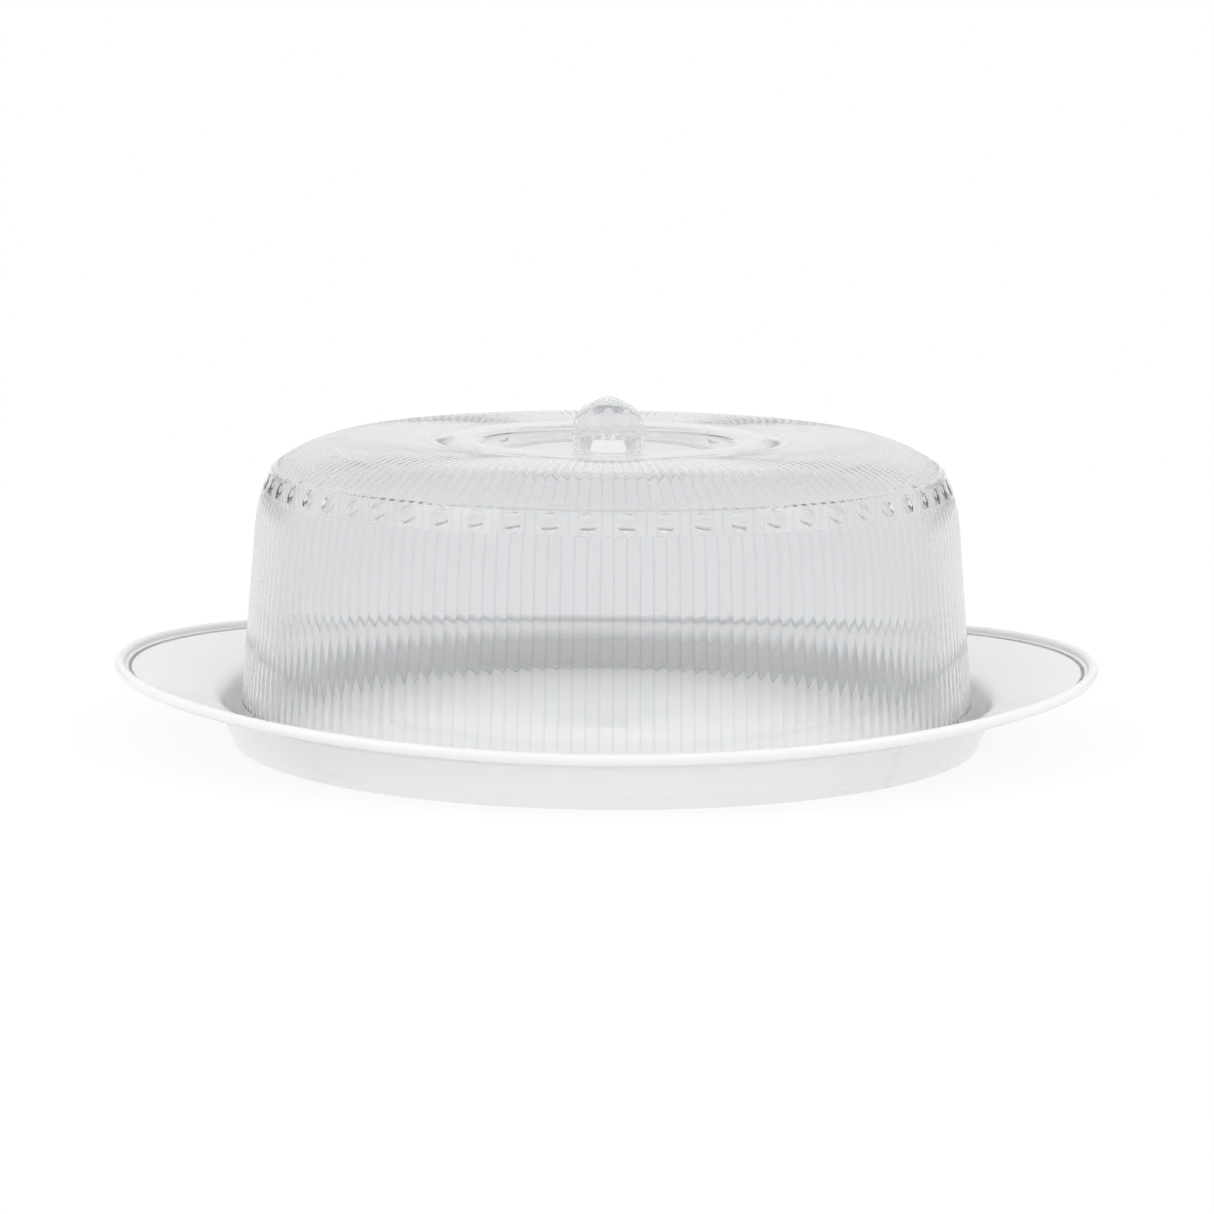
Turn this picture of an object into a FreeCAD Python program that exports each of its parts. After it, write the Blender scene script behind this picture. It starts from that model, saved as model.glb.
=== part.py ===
import FreeCAD, Part
import Sketcher
import math
import os

# A round cake plate with wide oval handles and a clear reeded dome with a faceted knob.
# Millimetres. The origin is the centre of the foot ring on the table, +X runs along the
# handles and +Z is the axis of the well, the dome and the knob.

SIZES = [
    # Plate: the well
    ("well_radius", 151.5, "radius of the flat floor of the well"),
    ("floor_top", 3.5, "height of the floor above the table"),
    ("floor_thickness", 2.0, "thickness of the floor"),
    ("well_lean", 20.0, "lean of the well's wall from upright, in degrees"),
    ("well_height", 15.4, "height of the well's corner with the flange above the floor"),
    ("plate_wall", 2.0, "thickness of the well's wall, square to its face"),
    ("lip_round", 9.0, "rounding between the well's wall and the flange"),
    ("foot_height", 4.9, "height of the foot band round the outside of the well"),
    ("foot_step", 0.35, "how far the foot band stands in from the wall"),
    ("foot_width", 2.0, "width of the foot ring on the table"),
    # Plate: the flange and its rim
    ("half_length", 200.3, "half of the plate's length, over the rim"),
    ("half_width", 171.0, "half of the plate's width, over the rim"),
    ("flange_slope", 17.2, "rise of the flange outward, in degrees"),
    ("flange_thickness", 2.3, "thickness of the flange"),
    ("rim_radius", 2.3, "radius of the round bead at the rim"),
    ("rim_lift", 0.9, "height of the bead's centre above the middle of the flange"),
    ("gate_radius", 2.6, "radius of the moulding mark at the centre of the floor"),
    ("gate_height", 0.3, "height of the moulding mark"),
    # Dome: the meridian of its outer face, from the bottom edge up
    ("dome_radius", 150.0, "radius of the dome's bottom edge"),
    ("dome_wall", 2.2, "thickness of the dome"),
    ("dome_draft", 4.8, "lean of the dome's wall from upright, in degrees"),
    ("hem_height", 12.9, "height of the plain hem"),
    ("wall_height", 84.0, "height of the straight part of the wall, with the hem"),
    ("shoulder_rise", 13.7, "rise of the curved top of the wall"),
    ("shoulder_inset", 2.75, "loss of radius over the curved top of the wall"),
    ("shoulder_bulge", 0.4, "bulge of the curved top of the wall over its chord"),
    ("band_rise", 9.4, "rise of the plain band with the dimples"),
    ("band_inset", 4.0, "loss of radius over the band"),
    ("crown_rise", 11.4, "rise of the outer part of the crown"),
    ("crown_inset", 24.2, "loss of radius over the outer part of the crown"),
    ("crown_bulge", 1.6, "bulge of the outer part of the crown over its chord"),
    ("top_drop", 0.4, "fall of the inner part of the crown to the foot of its ring"),
    ("top_bulge", 1.6, "bulge of the inner part of the crown over its chord"),
    ("ring_foot_radius", 71.1, "radius of the foot of the raised ring"),
    ("ring_crest_radius", 60.5, "radius of the crest of the raised ring"),
    ("ring_rise", 1.3, "rise of the ring's crest above its foot"),
    ("lip_radius", 52.5, "radius of the inner edge of the ring"),
    ("lip_drop", 1.2, "fall from the ring's crest to its inner edge"),
    ("pan_radius", 44.0, "radius of the flat pan that the knob stands in"),
    ("pan_depth", 3.9, "depth of the pan below the ring's inner edge"),
    # Dome: reeds and dimples
    ("reed_count", 180, "number of reeds round the dome"),
    ("reed_depth", 0.7, "depth of the valleys between the reeds on the wall"),
    ("reed_run_out", 3.4, "length over which a valley runs out beside a plain face"),
    ("top_reed_depth", 0.35, "depth of the valleys near the ring"),
    ("ledge", 0.12, "step between the crown's edge and the raised ring"),
    ("dimple_count", 60, "number of dimples in the band"),
    ("dimple_width", 7.8, "width of a dimple"),
    ("dimple_depth", 0.95, "depth of a dimple"),
    # Knob
    ("knob_radius", 15.1, "radius of the ball that the knob's corners lie on"),
    ("knob_centre", 6.3, "height of the ball's centre above the pan"),
    ("knob_table", 1.6, "radius of the small flat on top of the knob"),
    ("knob_shoulder", 40.0, "angle of the first row of corners from the axis, in degrees"),
    ("spigot_radius", 3.0, "radius of the spigot under the knob"),
    ("spigot_length", 2.0, "length of the spigot"),
    ("spigot_clearance", 0.3, "gap round the spigot for the glue"),
]

DERIVED = [
    # Plate
    ("flange_corner_radius", "well_radius + well_height * tan(well_lean * 1deg)"),
    ("flange_corner_height", "floor_top + well_height"),
    ("wall_gap", "plate_wall / cos(well_lean * 1deg)"),
    ("flange_gap", "flange_thickness / cos(flange_slope * 1deg)"),
    ("under_corner",
     "(wall_gap - tan(well_lean * 1deg) * flange_gap)"
     " / (1 - tan(well_lean * 1deg) * tan(flange_slope * 1deg))"),
    ("lip_reach", "lip_round * tan((90 - well_lean - flange_slope) * 0.5deg)"),
    ("lip_cut", "lip_round / cos((90 - well_lean - flange_slope) * 0.5deg) - lip_round"),
    ("lip_tilt", "(90 + well_lean - flange_slope) / 2"),
    ("blank_radius", "half_length + 3 * rim_radius"),
    ("trim_radius", "blank_radius + 2 * rim_radius"),
    ("foot_radius", "well_radius + wall_gap - floor_top * tan(well_lean * 1deg)"),
    ("foot_top_radius", "foot_radius + foot_height * tan(well_lean * 1deg)"),
    # Dome meridian, in radius and height
    ("hem_radius", "dome_radius - hem_height * tan(dome_draft * 1deg)"),
    ("straight_radius", "dome_radius - wall_height * tan(dome_draft * 1deg)"),
    ("band_foot_radius", "straight_radius - shoulder_inset"),
    ("band_foot_height", "wall_height + shoulder_rise"),
    ("band_top_radius", "band_foot_radius - band_inset"),
    ("band_top_height", "band_foot_height + band_rise"),
    ("crown_radius", "band_top_radius - crown_inset"),
    ("crown_height", "band_top_height + crown_rise"),
    ("ring_foot_height", "crown_height - top_drop"),
    ("pan_height", "ring_foot_height + ring_rise - lip_drop - pan_depth"),
    ("hole_radius", "spigot_radius + spigot_clearance"),
]

RIM_SECTIONS = 48
RIM_SIDES = 8
DIMPLE_SIDES = 8
CROWN_SHARE = 0.5
TOP_SHARE = 0.2
KNOB_TOP_FACETS = 8
KNOB_ROWS = [58.0, 76.0, 94.0]
SPIGOT_SINK = 1.0


def make_sheet(document):
    """The driving sizes, and the radii and heights that follow from them."""
    sheet = document.addObject("Spreadsheet::Sheet", "Sizes")
    row = 1
    for name, value, note in SIZES:
        sheet.set(f"A{row}", name)
        sheet.set(f"B{row}", str(value))
        sheet.set(f"C{row}", note)
        sheet.setAlias(f"B{row}", name)
        row += 1
    for name, formula in DERIVED:
        sheet.set(f"A{row}", name)
        sheet.set(f"B{row}", "=" + formula)
        sheet.setAlias(f"B{row}", name)
        row += 1
    document.recompute()
    return sheet


def origin_feature(body, role):
    """One of a body's own planes or axes."""
    for feature in body.Origin.OriginFeatures:
        if feature.Role == role:
            return feature
    raise ValueError(role)


def new_body(document, label):
    body = document.addObject("PartDesign::Body", label)
    body.Label = label
    return body


def add_sketch(body, name, role):
    """An empty sketch on one of the body's own planes."""
    sketch = body.newObject("Sketcher::SketchObject", name)
    sketch.AttachmentSupport = [(origin_feature(body, role), "")]
    sketch.MapMode = "FlatFace"
    return sketch


def closed_outline(sketch, corners):
    """Straight edges through corners given as a pair of expressions on the sheet's names."""
    places = [tuple(float(sketch.evalExpression(text)) for text in corner) for corner in corners]
    count = len(places)
    for index, (x, y) in enumerate(places):
        next_x, next_y = places[(index + 1) % count]
        start = FreeCAD.Vector(x, y, 0)
        end = FreeCAD.Vector(next_x, next_y, 0)
        sketch.addGeometry(Part.LineSegment(start, end), False)
    for index in range(count):
        sketch.addConstraint(Sketcher.Constraint("Coincident", index, 2, (index + 1) % count, 1))
    for index, corner in enumerate(corners):
        for kind, text, value in zip(("DistanceX", "DistanceY"), corner, places[index]):
            if abs(value) < 1e-9:
                axis = -2 if kind == "DistanceX" else -1
                sketch.addConstraint(Sketcher.Constraint("PointOnObject", index, 1, axis))
                continue
            number = sketch.addConstraint(Sketcher.Constraint(kind, -1, 1, index, 1, value))
            sketch.setExpression(f"Constraints[{number}]", text)


def revolve_sketch(body, sketch, name):
    """A full turn of a sketch about the body's upright axis."""
    turned = body.newObject("PartDesign::Revolution", name)
    turned.Profile = sketch
    turned.ReferenceAxis = (sketch, ["V_Axis"])
    turned.Angle = 360.0
    sketch.Visibility = False
    return turned


def flange_height(sizes, radius):
    """Height of the flange's upper face at a distance from the axis."""
    rise = math.tan(math.radians(sizes.flange_slope))
    return sizes.flange_corner_height + (radius - sizes.flange_corner_radius) * rise


def rim_section(sizes, turn):
    """Corners of a section across the bead, whose centre climbs with the flange."""
    along = sizes.half_length - sizes.rim_radius
    across = sizes.half_width - sizes.rim_radius
    x = along * math.cos(turn)
    y = across * math.sin(turn)
    radius = math.hypot(x, y)
    middle = sizes.rim_lift - sizes.flange_gap / 2
    centre = FreeCAD.Vector(x, y, flange_height(sizes, radius) + middle)
    x_rate = -along * math.sin(turn)
    y_rate = across * math.cos(turn)
    rise = math.tan(math.radians(sizes.flange_slope))
    way = FreeCAD.Vector(x_rate, y_rate, rise * (x * x_rate + y * y_rate) / radius)
    out = way.cross(FreeCAD.Vector(0, 0, 1)).normalize()
    up = out.cross(way).normalize()
    corners = []
    for side in range(RIM_SIDES):
        angle = 2 * math.pi * side / RIM_SIDES
        reach = FreeCAD.Vector(out).multiply(sizes.rim_radius * math.cos(angle))
        lift = FreeCAD.Vector(up).multiply(sizes.rim_radius * math.sin(angle))
        corners.append(centre.add(reach).add(lift))
    return corners


def make_rim(document, sizes):
    """The bead along the rim, closed through sections that stand across it."""
    turns = [2 * math.pi * number / RIM_SECTIONS for number in range(RIM_SECTIONS)]
    sections = [rim_section(sizes, turn) for turn in turns]
    faces = []
    for number, section in enumerate(sections):
        faces += strip(sections[number - 1], section)
    bead = document.addObject("Part::Feature", "rim_bead")
    bead.Shape = sewn_solid(faces)
    return bead


def make_plate(document, sizes):
    """Well, foot ring and oval flange in one moulding, with a round bead along the rim."""
    body = new_body(document, "plate_blank")
    section = add_sketch(body, "well_section", "XZ_Plane")
    closed_outline(section, [
        ("0", "Sizes.floor_top"),
        ("Sizes.well_radius", "Sizes.floor_top"),
        ("Sizes.flange_corner_radius - Sizes.lip_reach * sin(Sizes.well_lean * 1deg)",
         "Sizes.flange_corner_height - Sizes.lip_reach * cos(Sizes.well_lean * 1deg)"),
        ("Sizes.flange_corner_radius + Sizes.lip_cut * cos(Sizes.lip_tilt * 1deg)",
         "Sizes.flange_corner_height - Sizes.lip_cut * sin(Sizes.lip_tilt * 1deg)"),
        ("Sizes.flange_corner_radius + Sizes.lip_reach * cos(Sizes.flange_slope * 1deg)",
         "Sizes.flange_corner_height + Sizes.lip_reach * sin(Sizes.flange_slope * 1deg)"),
        ("Sizes.blank_radius",
         "Sizes.flange_corner_height"
         " + (Sizes.blank_radius - Sizes.flange_corner_radius) * tan(Sizes.flange_slope * 1deg)"),
        ("Sizes.blank_radius",
         "Sizes.flange_corner_height - Sizes.flange_gap"
         " + (Sizes.blank_radius - Sizes.flange_corner_radius) * tan(Sizes.flange_slope * 1deg)"),
        ("Sizes.flange_corner_radius + Sizes.under_corner",
         "Sizes.flange_corner_height - Sizes.flange_gap"
         " + Sizes.under_corner * tan(Sizes.flange_slope * 1deg)"),
        ("Sizes.foot_top_radius", "Sizes.foot_height"),
        ("Sizes.foot_top_radius - Sizes.foot_step", "Sizes.foot_height"),
        ("Sizes.foot_radius - Sizes.foot_step", "0"),
        ("Sizes.foot_radius - Sizes.foot_step - Sizes.foot_width", "0"),
        ("Sizes.foot_radius - Sizes.foot_step - Sizes.foot_width",
         "Sizes.floor_top - Sizes.floor_thickness"),
        ("0", "Sizes.floor_top - Sizes.floor_thickness"),
    ])
    revolve_sketch(body, section, "well_turned")
    document.recompute()

    oval = add_sketch(body, "oval_outline", "XY_Plane")
    centre = FreeCAD.Vector(0, 0, 0)
    halves = [
        (sizes.half_length - sizes.rim_radius, "Sizes.half_length", FreeCAD.Vector(1, 0, 0)),
        (sizes.half_width - sizes.rim_radius, "Sizes.half_width", FreeCAD.Vector(0, 1, 0)),
    ]
    halves.sort(key=lambda half: half[0], reverse=True)
    way = halves[0][2]
    major = FreeCAD.Vector(way).multiply(halves[0][0])
    minor = FreeCAD.Vector(-way.y, way.x, 0).multiply(halves[1][0])
    oval.addGeometry(Part.Ellipse(major, minor, centre), False)
    oval.exposeInternalGeometry(0)
    oval.addConstraint(Sketcher.Constraint("Coincident", 0, 3, -1, 1))
    oval.addConstraint(Sketcher.Constraint("Horizontal" if way.x else "Vertical", 1))
    for line, (half, name, _) in enumerate(halves, 1):
        number = oval.addConstraint(Sketcher.Constraint("Distance", line, 2 * half))
        oval.setExpression(f"Constraints[{number}]", f"2 * ({name} - Sizes.rim_radius)")
    outside = Part.Circle(centre, FreeCAD.Vector(0, 0, 1), sizes.trim_radius)
    ring = oval.addGeometry(outside, False)
    oval.addConstraint(Sketcher.Constraint("Coincident", ring, 3, -1, 1))
    number = oval.addConstraint(Sketcher.Constraint("Radius", ring, sizes.trim_radius))
    oval.setExpression(f"Constraints[{number}]", "Sizes.trim_radius")
    trim = body.newObject("PartDesign::Pocket", "oval_trim")
    trim.Profile = oval
    trim.Type = 1
    trim.Midplane = True
    oval.Visibility = False
    document.recompute()

    mark = body.newObject("PartDesign::AdditiveCylinder", "gate_mark")
    mark.setExpression("Radius", "Sizes.gate_radius")
    mark.setExpression("Height", "Sizes.gate_height")
    mark.AttachmentSupport = [(origin_feature(body, "XY_Plane"), "")]
    mark.MapMode = "FlatFace"
    mark.setExpression("AttachmentOffset.Base.z", "Sizes.floor_top")
    document.recompute()

    plate = document.addObject("Part::MultiFuse", "plate")
    plate.Shapes = [body, make_rim(document, sizes)]
    plate.Refine = False
    plate.Label = "plate"
    document.recompute()
    return plate


class Arc:
    """A meridian arc between two places, given as radius and height, that bulges outward."""

    def __init__(self, start, end, bulge):
        chord = end.sub(start)
        half = chord.Length / 2
        self.radius = (half * half + bulge * bulge) / (2 * bulge)
        out = FreeCAD.Vector(chord.y, -chord.x, 0).normalize()
        middle = start.add(end).multiply(0.5)
        self.centre = middle.sub(FreeCAD.Vector(out).multiply(self.radius - bulge))
        self.first = math.atan2(start.y - self.centre.y, start.x - self.centre.x)
        self.last = math.atan2(end.y - self.centre.y, end.x - self.centre.x)

    def place(self, share):
        """A place on the arc and its outward direction, at a share of its length."""
        angle = self.first + share * (self.last - self.first)
        out = FreeCAD.Vector(math.cos(angle), math.sin(angle), 0)
        return self.centre.add(FreeCAD.Vector(out).multiply(self.radius)), out


def reed_ring(place, out, depth, count):
    """Crests and valleys in turn round one station, or crests alone where it has no depth."""
    if depth == 0:
        return [turned(place, 2 * math.pi * number / count) for number in range(count)]
    low = place.sub(FreeCAD.Vector(out).multiply(depth))
    return [turned(low if half % 2 else place, math.pi * half / count) for half in range(2 * count)]


def turned(place, angle):
    """A meridian place, as radius and height, turned about the axis."""
    return FreeCAD.Vector(place.x * math.cos(angle), place.x * math.sin(angle), place.y)


def loop(points):
    return Part.makePolygon([*points, points[0]])


def circle_wire(radius, height):
    circle = Part.Circle(FreeCAD.Vector(0, 0, height), FreeCAD.Vector(0, 0, 1), radius)
    return Part.Wire([circle.toShape()])


def flat_ring(outer, inner):
    """A level face between two closed wires."""
    return Part.makeFace([outer, inner], "Part::FaceMakerBullseye")


def dome_meridian(sizes):
    """The outer meridian: its corners by name, and its three arcs."""
    corners = {
        "edge": (sizes.dome_radius, 0),
        "hem": (sizes.hem_radius, sizes.hem_height),
        "straight": (sizes.straight_radius, sizes.wall_height),
        "band_foot": (sizes.band_foot_radius, sizes.band_foot_height),
        "band_top": (sizes.band_top_radius, sizes.band_top_height),
        "crown": (sizes.crown_radius, sizes.crown_height),
        "ring_foot": (sizes.ring_foot_radius, sizes.ring_foot_height),
        "ring_crest": (sizes.ring_crest_radius, sizes.ring_foot_height + sizes.ring_rise),
        "lip": (sizes.lip_radius, sizes.pan_height + sizes.pan_depth),
        "pan": (sizes.pan_radius, sizes.pan_height),
    }
    corners = {name: FreeCAD.Vector(x, y, 0) for name, (x, y) in corners.items()}
    arcs = {
        "shoulder": Arc(corners["straight"], corners["band_foot"], sizes.shoulder_bulge),
        "crown": Arc(corners["band_top"], corners["crown"], sizes.crown_bulge),
        "top": Arc(corners["crown"], corners["ring_foot"], sizes.top_bulge),
    }
    return corners, arcs


def wall_stations(sizes, corners):
    """Stations from the bottom edge to the band: place, outward direction and valley depth."""
    draft = math.radians(sizes.dome_draft)
    out = FreeCAD.Vector(math.cos(draft), math.sin(draft), 0)
    up = FreeCAD.Vector(-math.sin(draft), math.cos(draft), 0)
    run_out = FreeCAD.Vector(up).multiply(sizes.reed_run_out)
    return [
        (corners["edge"], out, 0),
        (corners["hem"], out, 0),
        (corners["hem"].add(run_out), out, sizes.reed_depth),
        (corners["straight"], out, sizes.reed_depth),
        (corners["band_foot"], out, 0),
    ]


def crown_stations(sizes, corners, arcs):
    """Stations from the band to the ring; the reeds narrow and grow shallower on the way."""
    crown = arcs["crown"]
    top = arcs["top"]
    run_out = sizes.reed_run_out / corners["crown"].sub(corners["band_top"]).Length
    edge = corners["ring_foot"].x + sizes.ledge
    reach = corners["band_top"].x - edge
    stations = [(*crown.place(0), 0)]
    for arc, share in ((crown, run_out), (crown, CROWN_SHARE), (top, TOP_SHARE)):
        place, way = arc.place(share)
        closeness = (place.x - edge) / reach
        depth = sizes.top_reed_depth + (sizes.reed_depth - sizes.top_reed_depth) * closeness
        stations.append((place, way, depth))
    stations.append((FreeCAD.Vector(edge, corners["ring_foot"].y, 0), top.place(1)[1], 0))
    return stations


def inner_meridian(sizes, corners, arcs):
    """Places of the inner face, a wall's thickness inside the outer one, from edge to pan."""
    wall = sizes.dome_wall
    draft = math.radians(sizes.dome_draft)
    places = [FreeCAD.Vector(corners["edge"].x - wall / math.cos(draft), 0, 0)]
    for arc, share in (
        (arcs["shoulder"], 0), (arcs["shoulder"], 1), (arcs["crown"], 0),
        (arcs["crown"], CROWN_SHARE), (arcs["top"], TOP_SHARE),
    ):
        place, way = arc.place(share)
        places.append(place.sub(FreeCAD.Vector(way).multiply(wall)))
    down = FreeCAD.Vector(0, wall, 0)
    places += [corners[name].sub(down) for name in ("ring_foot", "ring_crest", "lip", "pan")]
    return places


def dimpled_band(sizes, lower, upper):
    """Faces of the plain band between two rings of points, with a row of sunk dimples."""
    foot = FreeCAD.Vector(sizes.band_foot_radius, sizes.band_foot_height, 0)
    top = FreeCAD.Vector(sizes.band_top_radius, sizes.band_top_height, 0)
    middle = foot.add(top).multiply(0.5)
    up = top.sub(foot).normalize()
    out = FreeCAD.Vector(up.y, -up.x, 0)
    radius = sizes.dimple_width / 2
    low = middle.sub(FreeCAD.Vector(out).multiply(sizes.dimple_depth))
    count = int(sizes.dimple_count)
    edges = [number * len(lower) // count for number in range(count + 1)]
    faces = []
    for first, last in zip(edges, edges[1:]):
        centre = math.pi * (first + last) / len(lower)
        bottom = turned(low, centre)
        rim = []
        for side in range(DIMPLE_SIDES):
            angle = 2 * math.pi * (side + 0.5) / DIMPLE_SIDES
            place = middle.add(FreeCAD.Vector(up).multiply(radius * math.sin(angle)))
            rim.append(turned(place, centre + radius * math.cos(angle) / middle.x))
        faces += [facet(start, end, bottom) for start, end in zip(rim, rim[1:] + rim[:1])]
        below = [lower[step % len(lower)] for step in range(first, last + 1)]
        above = [upper[step % len(upper)] for step in range(first, last + 1)]
        faces += frame_faces(below, above, rim)
    return faces


def frame_faces(below, above, rim):
    """Three-cornered faces between a cell's lower and upper edges and the rim of its dimple."""
    half = len(rim) // 2
    top = rim[half - 1::-1]
    bottom = rim[half:]
    faces = fan_between(above, top) + fan_between(below, bottom)
    faces.append(facet(below[0], above[0], top[0]))
    faces.append(facet(below[0], top[0], bottom[0]))
    faces.append(facet(below[-1], above[-1], top[-1]))
    faces.append(facet(below[-1], top[-1], bottom[-1]))
    return faces


def fan_between(edge, arch):
    """Three-cornered faces between two open rows of points that run the same way."""
    faces = []
    first = 0
    second = 0
    while first < len(edge) - 1 or second < len(arch) - 1:
        ahead = (first + 1) / (len(edge) - 1)
        behind = (second + 1) / (len(arch) - 1)
        if second == len(arch) - 1 or (first < len(edge) - 1 and ahead <= behind):
            faces.append(facet(edge[first], edge[first + 1], arch[second]))
            first += 1
        else:
            faces.append(facet(edge[first], arch[second], arch[second + 1]))
            second += 1
    return faces


def strip(lower, upper):
    """Three-cornered faces between two closed rings of points."""
    return fan_between([*lower, lower[0]], [*upper, upper[0]])


def sewn_solid(faces):
    """A solid from the faces of its skin."""
    skin = Part.makeCompound(faces)
    skin.sewShape()
    solid = Part.Solid(skin)
    if solid.Volume < 0:
        solid.reverse()
    return solid


def reeded_shell(sizes):
    """The whole dome: plain hem, reeded wall, dimpled band, reeded crown and ring, hollow below."""
    corners, arcs = dome_meridian(sizes)
    count = int(sizes.reed_count)
    wall = [reed_ring(*station, count) for station in wall_stations(sizes, corners)]
    crown = [reed_ring(*station, count) for station in crown_stations(sizes, corners, arcs)]
    raised = [corners[name] for name in ("ring_foot", "ring_crest", "lip", "pan")]
    plain = [
        [ring_points(place.x, place.y, 0, count // 2) for place in places]
        for places in (raised, inner_meridian(sizes, corners, arcs))
    ]

    faces = strip(wall[0], plain[1][0]) + strip(crown[-1], plain[0][0])
    for rings in (wall, crown, *plain):
        for lower, upper in zip(rings, rings[1:]):
            faces += strip(lower, upper)
    faces += dimpled_band(sizes, wall[-1], crown[0])

    pan = corners["pan"].y
    underside = pan - sizes.dome_wall
    for rings, height in zip(plain, (pan, underside)):
        faces.append(flat_ring(loop(rings[-1]), circle_wire(sizes.hole_radius, height)))
    start = FreeCAD.Vector(0, 0, underside)
    hole = Part.makeCylinder(sizes.hole_radius, sizes.dome_wall, start)
    faces += [face for face in hole.Faces if isinstance(face.Surface, Part.Cylinder)]
    return sewn_solid(faces)


def make_dome(document, sizes):
    """The clear dome, standing on the floor of the well."""
    dome = document.addObject("Part::Feature", "dome")
    dome.Label = "dome"
    dome.Shape = reeded_shell(sizes)
    dome.setExpression("Placement.Base.z", "Sizes.floor_top")
    document.recompute()
    return dome


def knob_rows(sizes):
    """Rows of the knob's corners from the top: radius, height and the turn of its first corner."""
    base_angle = math.degrees(math.acos(-sizes.knob_centre / sizes.knob_radius))
    pitch = 2 * math.pi / (2 * KNOB_TOP_FACETS)
    rows = []
    for number, angle in enumerate([*KNOB_ROWS, base_angle]):
        polar = math.radians(angle)
        radius = sizes.knob_radius * math.sin(polar)
        height = sizes.knob_centre + sizes.knob_radius * math.cos(polar)
        rows.append((radius, height, (number % 2) * pitch / 2))
    return rows


def ring_points(radius, height, first, count):
    turns = [first + 2 * math.pi * number / count for number in range(count)]
    return [FreeCAD.Vector(radius * math.cos(turn), radius * math.sin(turn), height) for turn in turns]


def facet(*points):
    return Part.Face(Part.makePolygon([*points, points[0]]))


def faceted_ball(sizes):
    """A ball cut with a small table, a row of large facets and rows of three-cornered ones."""
    shoulder = math.radians(sizes.knob_shoulder)
    shoulder_radius = sizes.knob_radius * math.sin(shoulder)
    shoulder_height = sizes.knob_centre + sizes.knob_radius * math.cos(shoulder)
    top_height = sizes.knob_centre + sizes.knob_radius
    table = ring_points(sizes.knob_table, top_height, 0, KNOB_TOP_FACETS)
    upper = ring_points(shoulder_radius, shoulder_height, 0, KNOB_TOP_FACETS)
    rows = [ring_points(*row, 2 * KNOB_TOP_FACETS) for row in knob_rows(sizes)]

    faces = [facet(*table)]
    for number in range(KNOB_TOP_FACETS):
        after = (number + 1) % KNOB_TOP_FACETS
        faces.append(facet(table[number], upper[number], upper[after], table[after]))
        left = rows[0][2 * number - 1]
        middle = rows[0][2 * number]
        right = rows[0][2 * number + 1]
        faces.append(facet(upper[number], left, middle))
        faces.append(facet(upper[number], middle, right))
        faces.append(facet(upper[number], right, upper[after]))
    for level, (above, below) in enumerate(zip(rows, rows[1:])):
        count = len(above)
        for number in range(count):
            after = (number + 1) % count
            if level % 2 == 0:
                faces.append(facet(above[number], below[number], above[after]))
                faces.append(facet(above[number], below[number - 1], below[number]))
            else:
                faces.append(facet(above[number], below[number], below[after]))
                faces.append(facet(above[number], below[after], above[after]))
    faces.append(facet(*rows[-1]))
    return sewn_solid(faces)


def make_knob(document, sizes):
    """The cut ball with the spigot that is glued into the hole in the dome's pan."""
    ball = document.addObject("Part::Feature", "cut_ball")
    ball.Shape = faceted_ball(sizes)
    body = new_body(document, "knob")
    body.BaseFeature = ball
    document.recompute()
    spigot = body.newObject("PartDesign::AdditiveCylinder", "spigot")
    spigot.setExpression("Radius", "Sizes.spigot_radius")
    spigot.setExpression("Height", f"Sizes.spigot_length + {SPIGOT_SINK}")
    spigot.AttachmentSupport = [(origin_feature(body, "XY_Plane"), "")]
    spigot.MapMode = "FlatFace"
    spigot.setExpression("AttachmentOffset.Base.z", "-Sizes.spigot_length")
    body.Tip = spigot
    body.setExpression("Placement.Base.z", "Sizes.floor_top + Sizes.pan_height")
    document.recompute()
    return body


def write_parts(document, parts):
    """Writes each piece to its own file once the whole model is sound."""
    for item in document.Objects:
        if "Invalid" in item.State or "Error" in item.State:
            raise RuntimeError(f"{item.Name} failed: {item.State}")
    for part in parts:
        shape = part.Shape
        if shape.isNull() or not shape.isValid() or len(shape.Solids) != 1:
            raise RuntimeError(f"{part.Label} is not one sound solid")
        box = shape.BoundBox
        print(part.Label, "volume", round(shape.Volume, 1), "box", box)
    os.makedirs("parts", exist_ok=True)
    for part in parts:
        part.Shape.exportStep(f"parts/{part.Label}.step")


def main():
    document = FreeCAD.newDocument("cake_plate_with_dome")
    sizes = make_sheet(document)
    plate = make_plate(document, sizes)
    dome = make_dome(document, sizes)
    knob = make_knob(document, sizes)
    document.recompute()
    write_parts(document, [plate, dome, knob])


main()
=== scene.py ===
"""A clear reeded cake dome with a faceted knob, on a glossy white cake plate with two handles."""

import math

import bmesh
import bpy
import numpy as np
from mathutils import Matrix, Vector


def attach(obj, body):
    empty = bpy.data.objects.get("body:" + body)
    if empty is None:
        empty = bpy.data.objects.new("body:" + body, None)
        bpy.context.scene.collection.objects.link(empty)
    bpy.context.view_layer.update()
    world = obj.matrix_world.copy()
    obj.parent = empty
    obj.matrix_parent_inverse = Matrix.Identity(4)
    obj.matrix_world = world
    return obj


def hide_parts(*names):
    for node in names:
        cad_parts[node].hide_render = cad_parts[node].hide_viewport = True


bl_info = {
    "name": "Cake Plate with Dome",
    "version": (1, 0, 0),
    "blender": (4, 5, 0),
    "location": "3D View > Sidebar > Cake Plate",
    "description": "Dresses a white cake plate, its clear reeded dome and its faceted knob",
    "category": "Add Mesh",
}

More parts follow.
